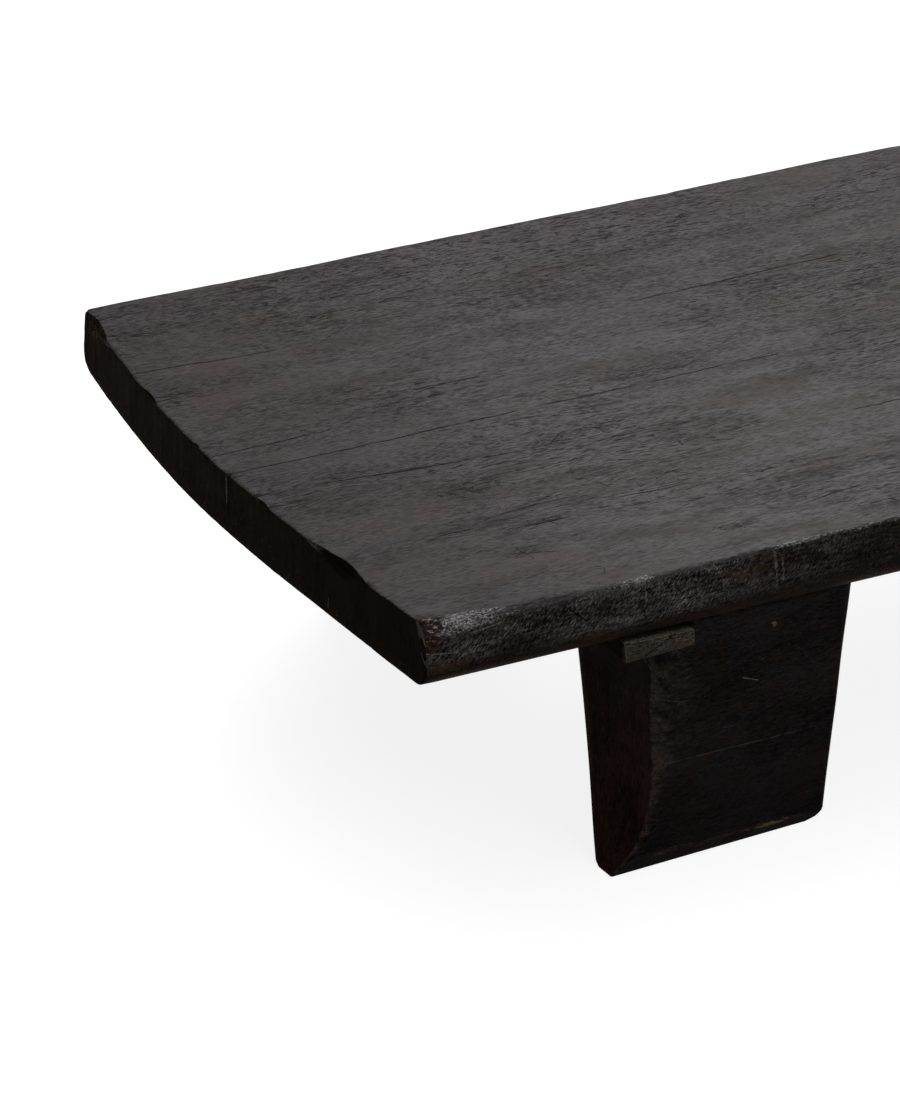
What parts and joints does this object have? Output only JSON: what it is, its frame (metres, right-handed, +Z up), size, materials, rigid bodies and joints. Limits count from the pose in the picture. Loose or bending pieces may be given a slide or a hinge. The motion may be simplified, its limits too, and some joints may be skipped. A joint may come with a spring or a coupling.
{
  "type": "coffee table",
  "caption": "Low table hewn from dark hardwood: a thick dished slab with swollen, worn sides on wedge-shaped block legs, each doweled to the slab and tightened with a small key",
  "frame": {"origin": "On the floor, under the middle of the table's bounding box.", "axes": "+X runs along the slab, +Y goes from the front long side to the back one, +Z is up. The end that the picture shows is at -X and the leg that it shows is at -X, -Y."},
  "size_m": [1.8, 0.764, 0.3377],
  "materials": {
    "slab_wood": "near-black stained hardwood with a worn, dull wax sheen",
    "leg_wood": "near-black stained hardwood, rubbed brown along the edges",
    "key_wood": "sawn grey-brown wood, unpolished",
    "dowel_wood": "bare brown hardwood"
  },
  "bodies": {
    "root": {"tabletop_slab": "slab_wood", "leg_front_left": "leg_wood", "leg_front_right": "leg_wood", "leg_back_left": "leg_wood", "leg_back_right": "leg_wood", "key_front_left": "key_wood", "key_front_right": "key_wood", "key_back_left": "key_wood", "key_back_right": "key_wood", "dowel_front_left_outer": "dowel_wood", "dowel_front_left_inner": "dowel_wood", "dowel_front_right_outer": "dowel_wood", "dowel_front_right_inner": "dowel_wood", "dowel_back_left_outer": "dowel_wood", "dowel_back_left_inner": "dowel_wood", "dowel_back_right_outer": "dowel_wood", "dowel_back_right_inner": "dowel_wood"}
  },
  "joints": []
}
